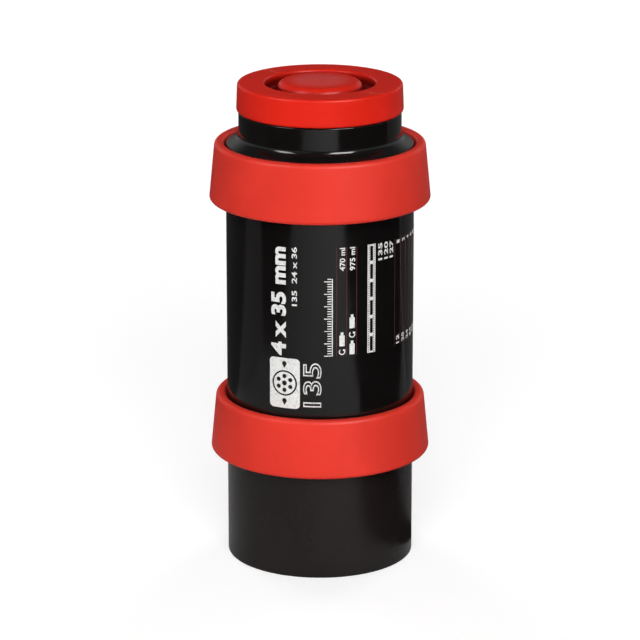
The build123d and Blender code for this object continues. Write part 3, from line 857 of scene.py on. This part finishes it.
def build_cap_painted_shade_and_sheen():
    """Painted shade that darkens the finger trough with depth, and a painted sheen that greys the boss top.
    """
    inputs = [("Stain Depth", "NodeSocketFloat", PAINTED_SHADE_DEPTH)]
    outputs = [("Painted Shade", "NodeSocketFloat"), ("Painted Sheen", "NodeSocketFloat")]
    group, entry, leave = effect_group("cap_painted_shade_and_sheen", inputs, outputs)
    place = group.nodes.new("ShaderNodeTexCoord").outputs["Object"]
    parts = group.nodes.new("ShaderNodeSeparateXYZ")
    group.links.new(place, parts.inputs[0])
    across = calculate(group, "MULTIPLY", parts.outputs["X"], parts.outputs["X"])
    deep = calculate(group, "MULTIPLY", parts.outputs["Y"], parts.outputs["Y"])
    radius = calculate(group, "SQRT", calculate(group, "ADD", across, deep))
    below_rim = calculate(group, "SUBTRACT", CAP_RIM_TOP * MM, parts.outputs["Z"])
    depth = calculate(group, "DIVIDE", below_rim, entry.outputs["Stain Depth"])
    inside = remap(group, radius, TROUGH_RADIUS * MM, (TROUGH_RADIUS + 0.5) * MM, 1.0, 0.0)
    outside = remap(group, radius, (BOSS_RADIUS - 1.5) * MM, BOSS_RADIUS * MM)
    above = remap(group, parts.outputs["Z"], (TROUGH_UNDER + 0.6) * MM, (TROUGH_UNDER + 1.4) * MM)
    ring = calculate(group, "MULTIPLY", inside, calculate(group, "MULTIPLY", outside, above))
    # Painted shade: dark inside the trough, darker the deeper it lies below the rim.
    painted_shade = calculate(group, "MULTIPLY", remap(group, depth, 0.0, 1.0), ring)
    group.links.new(painted_shade, leave.inputs["Painted Shade"])
    # Painted sheen: the middle of the boss top, broken up a little, where the colour is greyed.
    top = remap(group, parts.outputs["Z"], (BOSS_EDGE - 0.7) * MM, BOSS_EDGE * MM)
    rubbed = remap(group, radius, PAINTED_SHEEN_RADIUS * MM, PAINTED_SHEEN_EDGE_RADIUS * MM, 1.0, 0.0)
    broken = remap(group, noise(group, place, scale=160.0, detail=3.0), 0.3, 0.6, 0.7, 1.0)
    worn = calculate(group, "MULTIPLY", calculate(group, "MULTIPLY", top, rubbed), broken)
    group.links.new(worn, leave.inputs["Painted Sheen"])
    return group


EFFECTS["cap_painted_shade_and_sheen"] = build_cap_painted_shade_and_sheen()


def add_cap_painted_shade_and_sheen(material):
    """The trough's painted shade and the boss top's painted sheen, laid over a plastic's own colour."""
    tree = material.node_tree
    shader = tree.nodes["Principled BSDF"]
    tone = shader.inputs["Base Color"].links[0].from_socket
    marks = place_effect(tree, "cap_painted_shade_and_sheen", Stain_Depth=PAINTED_SHADE_DEPTH)
    # Painted shade in the trough first, then the painted sheen on the boss top.
    tone = blended(tree, marks["Painted Shade"], tone, PAINTED_SHADE_COLOUR)
    tone = blended(tree, calculate(tree, "MULTIPLY", marks["Painted Sheen"], PAINTED_SHEEN_SHARE), tone, PAINTED_SHEEN_COLOUR)
    tree.links.new(tone, shader.inputs["Base Color"])


add_cap_painted_shade_and_sheen(cap_red)
cap.data.materials.append(cap_red)
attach(cap, "cap")
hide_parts("lid_cap")

# STUDIO
# A plain pale table in soft light. Cards of several greys lie round the tank and show only in its glossy
# walls. The bare table between them is the pale band down the front of those walls.
FLOOR_HALF = 12.0
TABLE_LIFT = 0.58


def plain_mesh(name, corners):
    """One flat face of the studio."""
    data = bpy.data.meshes.new(name)
    data.from_pydata(corners, [], [range(len(corners))])
    piece = bpy.data.objects.new(name, data)
    bpy.context.scene.collection.objects.link(piece)
    return piece


def table_finish():
    """A smooth pale table top, lifted to white for the eye, dimmer in reflections and clear from below."""
    material = bpy.data.materials.new("pale_table")
    material.use_nodes = True
    tree = material.node_tree
    shader = tree.nodes["Principled BSDF"]
    place = tree.nodes.new("ShaderNodeTexCoord").outputs["Object"]
    seen_by = tree.nodes.new("ShaderNodeLightPath")
    cloud = noise(tree, place, scale=3.0, detail=2.0)
    top = blended(tree, cloud, (0.54, 0.54, 0.54), (0.56, 0.56, 0.56))
    across = tree.nodes.new("ShaderNodeSeparateXYZ")
    tree.links.new(place, across.inputs[0])
    rightwards = remap(tree, across.outputs["X"], -0.25, 0.2)
    mirrored = blended(tree, rightwards, (0.32, 0.32, 0.32), (0.5, 0.5, 0.5))
    top = blended(tree, seen_by.outputs["Is Glossy Ray"], top, mirrored)
    tree.links.new(top, shader.inputs["Base Color"])
    shader.inputs["Roughness"].default_value = 0.7
    shader.inputs["Specular IOR Level"].default_value = 0.1
    shader.inputs["Emission Color"].default_value = (1, 1, 1, 1)
    lift = calculate(tree, "MULTIPLY", seen_by.outputs["Is Camera Ray"], TABLE_LIFT)
    tree.links.new(lift, shader.inputs["Emission Strength"])
    from_below = tree.nodes.new("ShaderNodeNewGeometry").outputs["Backfacing"]
    tree.links.new(calculate(tree, "SUBTRACT", 1.0, from_below), shader.inputs["Alpha"])
    return material


floor_corners = [(x * FLOOR_HALF, y * FLOOR_HALF, 0) for x, y in ((-1, -1), (1, -1), (1, 1), (-1, 1))]
floor = plain_mesh("floor", floor_corners)
floor.data.materials.append(table_finish())


def card_finish(name, tone):
    """Matt card."""
    material = bpy.data.materials.new(name)
    material.use_nodes = True
    shader = material.node_tree.nodes["Principled BSDF"]
    shader.inputs["Base Color"].default_value = (tone, tone, tone, 1)
    shader.inputs["Roughness"].default_value = 1.0
    shader.inputs["Specular IOR Level"].default_value = 0.0
    return material


CARD_HEIGHT = 0.004
HIDDEN_FROM = ("camera", "diffuse", "transmission", "volume_scatter", "shadow")
FAR = 6.0
black_card = card_finish("black_card", 0.015)
dark_card = card_finish("dark_card", 0.05)
grey_card = card_finish("grey_card", 0.12)
pale_card = card_finish("pale_card", 0.2)
for name, finish, corners in (
    ("right_card", black_card, [
        (1.68, -FAR), (FAR, -FAR), (FAR, 1.5), (0.35, 0.18), (0.2, 0.03), (0.04, 0.02), (0.06, -0.06),
        (0.088, -0.1), (0.225, -0.21)
    ]),
    ("right_side_card", pale_card, [(0.04, 0.02), (0.2, 0.03), (0.35, 0.18), (0.2, 0.16), (0, 0.3)]),
    ("back_card", grey_card, [(0.2, 0.16), (FAR, 1.51), (FAR, FAR), (0, FAR), (0, 0.3)]),
    ("left_front_card", black_card, [
        (-0.36, -FAR), (-0.36, -0.53), (-0.3, -0.3), (-0.36, -0.13), (-0.75, -0.2), (-FAR, -0.2), (-FAR, -FAR)
    ]),
    ("left_side_card", pale_card, [(-0.36, -0.13), (-0.75, -0.2), (-0.75, 0.1), (-0.25, 0.12)]),
    ("left_back_card", dark_card, [
        (-0.25, 0.12), (-0.75, 0.1), (-0.75, -0.2), (-FAR, -0.2), (-FAR, FAR), (0, FAR), (0, 0.28)
    ]),
):
    card = plain_mesh(name, [(x, y, CARD_HEIGHT) for x, y in corners])
    card.data.materials.append(finish)
    for kind in HIDDEN_FROM:
        setattr(card, "visible_" + kind, False)


SOFTBOX_AWAY = 2.4


def softbox(name, turn, rise, width, height, power, mirrored=False):
    """A soft light aimed at the tank's middle, turned right from the front, that lights it or shows in it."""
    middle = Vector((0, 0, TOTAL_HEIGHT * MM / 2))
    turn, rise = math.radians(turn), math.radians(rise)
    towards = Vector((math.cos(rise) * math.sin(turn), -math.cos(rise) * math.cos(turn), math.sin(rise)))
    data = bpy.data.lights.new(name, "AREA")
    data.shape = "RECTANGLE"
    data.size = width
    data.size_y = height
    data.energy = power
    light = bpy.data.objects.new(name, data)
    light.location = middle + SOFTBOX_AWAY * towards
    light.rotation_euler = towards.to_track_quat("Z", "Y").to_euler()
    light.visible_glossy = mirrored
    light.visible_diffuse = not mirrored
    bpy.context.scene.collection.objects.link(light)


softbox("key_softbox", turn=0, rise=28, width=1.5, height=1.0, power=53.0)
softbox("back_left_softbox", turn=-145, rise=15, width=1.2, height=1.0, power=25.0)
softbox("back_right_softbox", turn=145, rise=15, width=1.2, height=1.0, power=24.0)
softbox("left_glint", turn=-57, rise=38, width=0.8, height=1.1, power=26.0, mirrored=True)
softbox("right_glint", turn=34, rise=36, width=1.2, height=1.1, power=56.0, mirrored=True)

AMBIENT = 0.2
MIRRORED_AHEAD = 0.05
MIRRORED_ASIDE = 0.34


def room_light():
    """Even light from all round, which reflections see as a dim room that is paler low down to the sides."""
    world = bpy.data.worlds.new("studio")
    world.use_nodes = True
    sky = world.node_tree
    surround = sky.nodes["Background"]
    seen_by = sky.nodes.new("ShaderNodeLightPath")
    looking = sky.nodes.new("ShaderNodeSeparateXYZ")
    sky.links.new(sky.nodes.new("ShaderNodeTexCoord").outputs["Generated"], looking.inputs[0])
    aside = remap(sky, calculate(sky, "ABSOLUTE", looking.outputs["X"]), 0.12, 0.3)
    low = remap(sky, looking.outputs["Z"], 0.35, 0.55, 1.0, 0.0)
    share = calculate(sky, "MULTIPLY", aside, low)
    mirrored = remap(sky, share, 0.0, 1.0, MIRRORED_AHEAD, MIRRORED_ASIDE)
    change = calculate(sky, "SUBTRACT", mirrored, AMBIENT)
    change = calculate(sky, "MULTIPLY", seen_by.outputs["Is Glossy Ray"], change)
    strength = calculate(sky, "ADD", change, AMBIENT)
    surround.inputs["Color"].default_value = (1, 1, 1, 1)
    sky.links.new(strength, surround.inputs["Strength"])
    return world


bpy.context.scene.world = room_light()
bpy.context.scene.view_settings.view_transform = "Standard"

# CAMERA
# A long lens a good arm's length back, looking down a little over the cap, with the whole tank upright
# in a square frame.
CAMERA_BACK = 1.6
CAMERA_HEIGHT = 0.59
CAMERA_DOWN = 16.579
LENS = 198.6
camera_data = bpy.data.cameras.new("camera")
camera_data.lens = LENS
camera_data.sensor_width = 36.0
camera_data.clip_end = 60.0
camera = bpy.data.objects.new("camera", camera_data)
camera.location = (0, -CAMERA_BACK, CAMERA_HEIGHT)
camera.rotation_euler = (math.radians(90 - CAMERA_DOWN), 0, 0)
bpy.context.scene.collection.objects.link(camera)
bpy.context.scene.camera = camera
